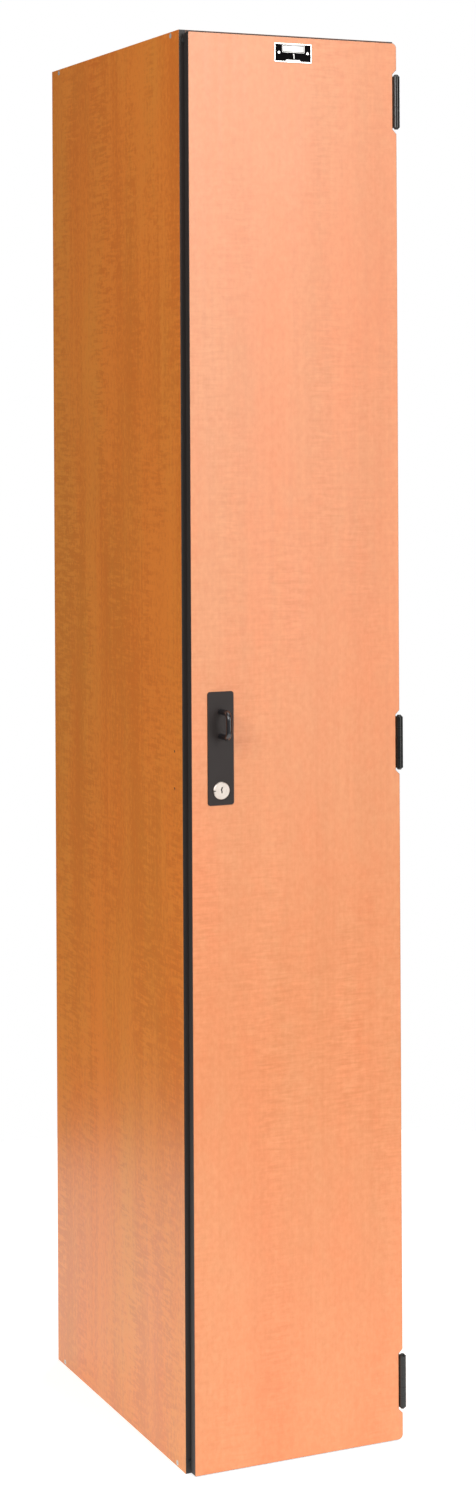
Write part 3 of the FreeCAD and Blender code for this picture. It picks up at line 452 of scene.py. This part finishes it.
def plate_graphics():
    """Raised marks on the number plate: a blank framed panel, a plain numeral and a foot band."""
    low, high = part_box("number_plate")
    face = low.y + PLATE_RECESS
    cx, foot = (low.x + high.x) / 2, low.z

    def at(points):
        """Points in millimetres from the middle of the plate's foot, in the frame."""
        return [(cx + x * MM, foot + z * MM) for x, z in points]

    panel = (0.6, 17.4)
    numeral = ((0.95, 4.5), (1.75, 4.5), (1.75, 11.0), (1.15, 11.0), (0.0, 10.0), (0.0, 9.2),
               (0.95, 9.7))
    band = ((-11.2, 1.2), (11.2, 1.2), (9.4, 3.3), (-9.4, 3.3))
    marks = bmesh.new()
    slab(marks, face, at(rounded(panel, (31.8, 9.8), 1.3)), at(rounded(panel, (30.6, 8.6), 0.8)))
    slab(marks, face, at(rounded(panel, (28.8, 6.8), 0.6)))
    slab(marks, face, at(numeral))
    slab(marks, face, at(band))
    bmesh.ops.recalc_face_normals(marks, faces=marks.faces)
    link("number_plate_marks", marks, metal("etched_metal", (0.66, 0.65, 0.63), 0.38), "door")


def dress(node, material):
    """Give every face of a CAD node one material."""
    slots = NODES[node].data.materials
    slots.clear()
    slots.append(material)


def panels():
    """Every panel, each with its own figure direction."""
    x, y, z = range(3)
    for seed, (node, across, grain) in enumerate((
            ("left_side_panel", x, z), ("right_side_panel", x, z), ("top_panel", z, y),
            ("bottom_panel", z, y), ("hat_shelf", z, y), ("back_panel", y, z),
            ("door_panel", y, z))):
        low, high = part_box(node)
        sheen_tint, strength = PLAIN_TONE, PANEL_FIGURE
        if node == "door_panel":
            # The door's tint is painted sheen: a pale veil of reflected light.
            sheen_tint, strength = DOOR_PAINTED_SHEEN, DOOR_FIGURE
        dress(node, laminate(node + "_laminate", across, grain, low[across], high[across], sheen_tint,
                             strength, seed))


def fittings():
    """Materials of everything that isn't a panel."""
    black = coated("black_powder_coat", (0.030, 0.029, 0.028), 0.42, grain=900, strength=0.2)
    for node in ("shelf_clips", "ceiling_hook", "wall_hook_left", "wall_hook_right",
                 "strike_plate"):
        dress(node, black)
    hinge = coated("hinge_coat", (0.008, 0.008, 0.007), 0.27, grain=900, strength=0.15)
    for level in ("upper", "middle", "lower"):
        for kind in ("frame_leaf", "door_leaf", "pin"):
            dress(f"hinge_{kind}_{level}", hinge)
    black_screw = coated("black_screw_coat", (0.025, 0.025, 0.025), 0.35)
    for node in ("shelf_clip_screws", "hook_screws", "hinge_frame_screws", "hinge_door_screws",
                 "strike_screws", "pull_screws"):
        dress(node, black_screw)
    bright = metal("bright_steel", (0.80, 0.80, 0.79), 0.28)
    for node in ("number_plate_rivets", "coin_slot_bezel"):
        dress(node, bright)
    satin = metal("satin_steel", (0.62, 0.61, 0.58), 0.36, metallic=0.45)
    for node in ("corner_screws", "back_screws"):
        dress(node, satin)
    dress("lock_plate", coated("plate_coat", (0.020, 0.0135, 0.0118), 0.5, grain=1200,
                               strength=0.15, Specular_IOR_Level=0.36))
    dress("door_pull", coated("gloss_black", (0.006, 0.006, 0.008), 0.32, grain=120,
                              strength=0.03, Specular_IOR_Level=0.6, Coat_Weight=0.5,
                              Coat_Roughness=0.12))
    for node in ("cylinder_shell", "key_plug"):
        dress(node, turned_nickel(node + "_nickel"))
    dress("cylinder_nut", bright)
    dress("wafer_tumblers", metal("brass", (0.72, 0.53, 0.24), 0.3))
    zinc = metal("zinc_plate", (0.62, 0.63, 0.65), 0.38, brush=(1300, 1300, 1300),
                 cloud_scale=90, tint=0.09)
    for node in ("drive_cam", "cam_screw", "lock_case", "lock_cover", "lock_bolt", "bolt_guides",
                 "case_screws", "cover_screws", "coin_chute", "lever_pivot_pin", "coin_lever"):
        dress(node, zinc)
    dress("lever_spring", metal("spring_wire", (0.35, 0.35, 0.36), 0.3))
    dress("coin_return_cup", coated("moulded_black", (0.03, 0.03, 0.032), 0.3, grain=400,
                                    strength=0.1))
    dress("door_bumpers", coated("black_rubber", (0.02, 0.02, 0.02), 0.75, grain=500))
    dress("number_plate", plate_face())


camera()
studio()
panels()
fittings()
plate_graphics()
